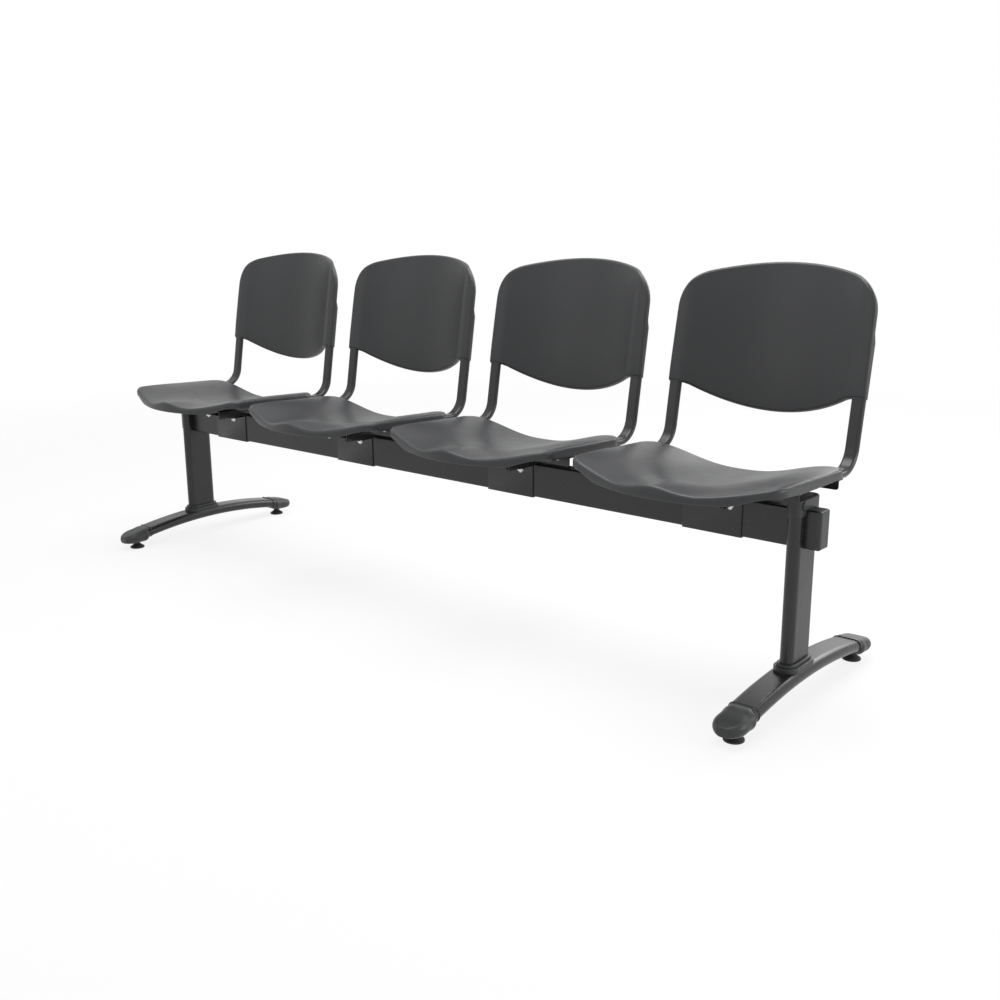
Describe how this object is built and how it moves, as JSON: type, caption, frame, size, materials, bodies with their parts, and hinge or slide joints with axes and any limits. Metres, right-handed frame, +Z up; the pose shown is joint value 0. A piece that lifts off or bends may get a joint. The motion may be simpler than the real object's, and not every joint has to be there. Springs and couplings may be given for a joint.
{
  "type": "beam seating",
  "caption": "Bench of moulded seats and backs on oval-tube frames, clamped to a steel beam on end columns with arched feet and screw levellers.",
  "frame": {"origin": "on the floor, under the middle of the bench's bounding box", "axes": "+X along the beam to the sitter's left, +Y to the rear, +Z up; the seats face -Y"},
  "size_m": [2.158, 0.63, 0.8782],
  "materials": {
    "shell_plastic": "fine-grained moulded polypropylene, satin",
    "moulded_trim": "moulded plastic, satin",
    "pad_plastic": "moulded plastic, matt",
    "coated_steel": "epoxy powder coat, satin black",
    "zinc_steel": "bright zinc plating"
  },
  "bodies": {
    "bench": {"beam": "coated_steel", "column_bolts": "zinc_steel", "beam_end_cap_right": "moulded_trim", "column_right": "coated_steel", "column_top_cap_right": "moulded_trim", "column_collar_right": "moulded_trim", "foot_right": "coated_steel", "foot_cap_front_right": "moulded_trim", "foot_cap_rear_right": "moulded_trim", "beam_end_cap_left": "moulded_trim", "column_left": "coated_steel", "column_top_cap_left": "moulded_trim", "column_collar_left": "moulded_trim", "foot_left": "coated_steel", "foot_cap_front_left": "moulded_trim", "foot_cap_rear_left": "moulded_trim", "seat_shell_1": "shell_plastic", "back_shell_1": "shell_plastic", "side_tube_right_1": "coated_steel", "side_tube_left_1": "coated_steel", "cross_rails_1": "coated_steel", "bracket_arms_1": "coated_steel", "beam_clamp_1": "coated_steel", "clamp_bolts_1": "zinc_steel", "shell_screws_1": "zinc_steel", "seat_shell_2": "shell_plastic", "back_shell_2": "shell_plastic", "side_tube_right_2": "coated_steel", "side_tube_left_2": "coated_steel", "cross_rails_2": "coated_steel", "bracket_arms_2": "coated_steel", "beam_clamp_2": "coated_steel", "clamp_bolts_2": "zinc_steel", "shell_screws_2": "zinc_steel", "seat_shell_3": "shell_plastic", "back_shell_3": "shell_plastic", "side_tube_right_3": "coated_steel", "side_tube_left_3": "coated_steel", "cross_rails_3": "coated_steel", "bracket_arms_3": "coated_steel", "beam_clamp_3": "coated_steel", "clamp_bolts_3": "zinc_steel", "shell_screws_3": "zinc_steel", "seat_shell_4": "shell_plastic", "back_shell_4": "shell_plastic", "side_tube_right_4": "coated_steel", "side_tube_left_4": "coated_steel", "cross_rails_4": "coated_steel", "bracket_arms_4": "coated_steel", "beam_clamp_4": "coated_steel", "clamp_bolts_4": "zinc_steel", "shell_screws_4": "zinc_steel"},
    "stud_front_right": {"leveller_stud_front_right": "zinc_steel"},
    "pad_front_right": {"leveller_pad_front_right": "pad_plastic"},
    "stud_rear_right": {"leveller_stud_rear_right": "zinc_steel"},
    "pad_rear_right": {"leveller_pad_rear_right": "pad_plastic"},
    "stud_front_left": {"leveller_stud_front_left": "zinc_steel"},
    "pad_front_left": {"leveller_pad_front_left": "pad_plastic"},
    "stud_rear_left": {"leveller_stud_rear_left": "zinc_steel"},
    "pad_rear_left": {"leveller_pad_rear_left": "pad_plastic"}
  },
  "joints": [
    {"name": "lift_front_right", "type": "slide", "parent": "bench", "child": "stud_front_right", "axis": [0, 0, 1], "range_m": [-0.012, 0.004]},
    {"name": "turn_front_right", "type": "hinge", "parent": "stud_front_right", "child": "pad_front_right", "pos_m": [-1.03, -0.2685, 0], "axis": [0, 0, 1], "range_deg": [-2880, 960]},
    {"name": "lift_rear_right", "type": "slide", "parent": "bench", "child": "stud_rear_right", "axis": [0, 0, 1], "range_m": [-0.012, 0.004]},
    {"name": "turn_rear_right", "type": "hinge", "parent": "stud_rear_right", "child": "pad_rear_right", "pos_m": [-1.03, 0.2685, 0], "axis": [0, 0, 1], "range_deg": [-2880, 960]},
    {"name": "lift_front_left", "type": "slide", "parent": "bench", "child": "stud_front_left", "axis": [0, 0, 1], "range_m": [-0.012, 0.004]},
    {"name": "turn_front_left", "type": "hinge", "parent": "stud_front_left", "child": "pad_front_left", "pos_m": [1.03, -0.2685, 0], "axis": [0, 0, 1], "range_deg": [-2880, 960]},
    {"name": "lift_rear_left", "type": "slide", "parent": "bench", "child": "stud_rear_left", "axis": [0, 0, 1], "range_m": [-0.012, 0.004]},
    {"name": "turn_rear_left", "type": "hinge", "parent": "stud_rear_left", "child": "pad_rear_left", "pos_m": [1.03, 0.2685, 0], "axis": [0, 0, 1], "range_deg": [-2880, 960]}
  ],
  "couplings": [
    {"joint": "lift_front_right", "follows": "turn_front_right", "m_per_rad": 0.00023873},
    {"joint": "lift_rear_right", "follows": "turn_rear_right", "m_per_rad": 0.00023873},
    {"joint": "lift_front_left", "follows": "turn_front_left", "m_per_rad": 0.00023873},
    {"joint": "lift_rear_left", "follows": "turn_rear_left", "m_per_rad": 0.00023873}
  ]
}
